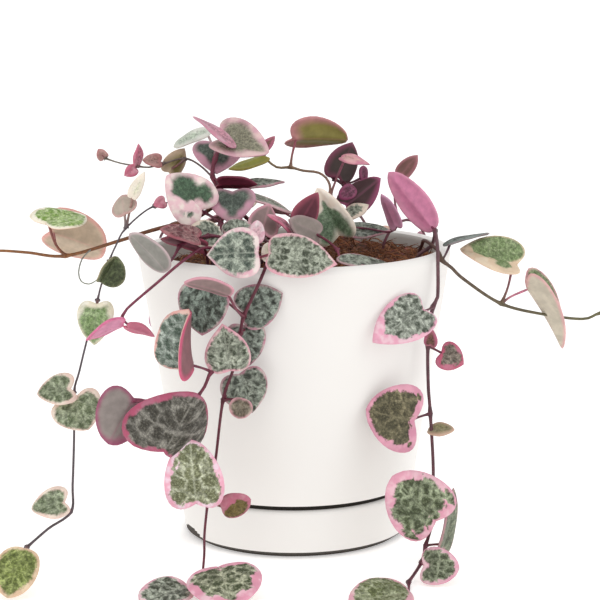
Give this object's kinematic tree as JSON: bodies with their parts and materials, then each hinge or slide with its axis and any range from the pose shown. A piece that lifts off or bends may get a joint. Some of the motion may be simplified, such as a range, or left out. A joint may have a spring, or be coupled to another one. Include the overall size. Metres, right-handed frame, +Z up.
{
  "type": "potted trailing plant",
  "caption": "Trailing succulent with heart-shaped variegated leaves in a tapered white ceramic pot on a saucer.",
  "frame": {"origin": "centre of the saucer's flat underside, where it stands", "axes": "+Z up along the pot's axis, -Y towards the side with the most trailing stems, +X to that side's right"},
  "size_m": [0.2388, 0.1725, 0.1349],
  "materials": {
    "white_glaze": "satin white glaze",
    "coir_mix": "rough brown coir fibre",
    "leaf": "satin succulent leaf"
  },
  "bodies": {
    "root": {"pot": "white_glaze", "saucer": "white_glaze", "soil": "coir_mix", "crown": "leaf", "vine_left_reach": "leaf", "vine_left_fall": "leaf", "vine_left_short": "leaf", "vine_front": "leaf", "vine_right_fall": "leaf", "vine_right_reach": "leaf", "vine_back_high": "leaf", "vine_back_1": "leaf", "vine_back_2": "leaf", "vine_back_3": "leaf", "vine_back_4": "leaf", "vine_back_5": "leaf"}
  },
  "joints": []
}
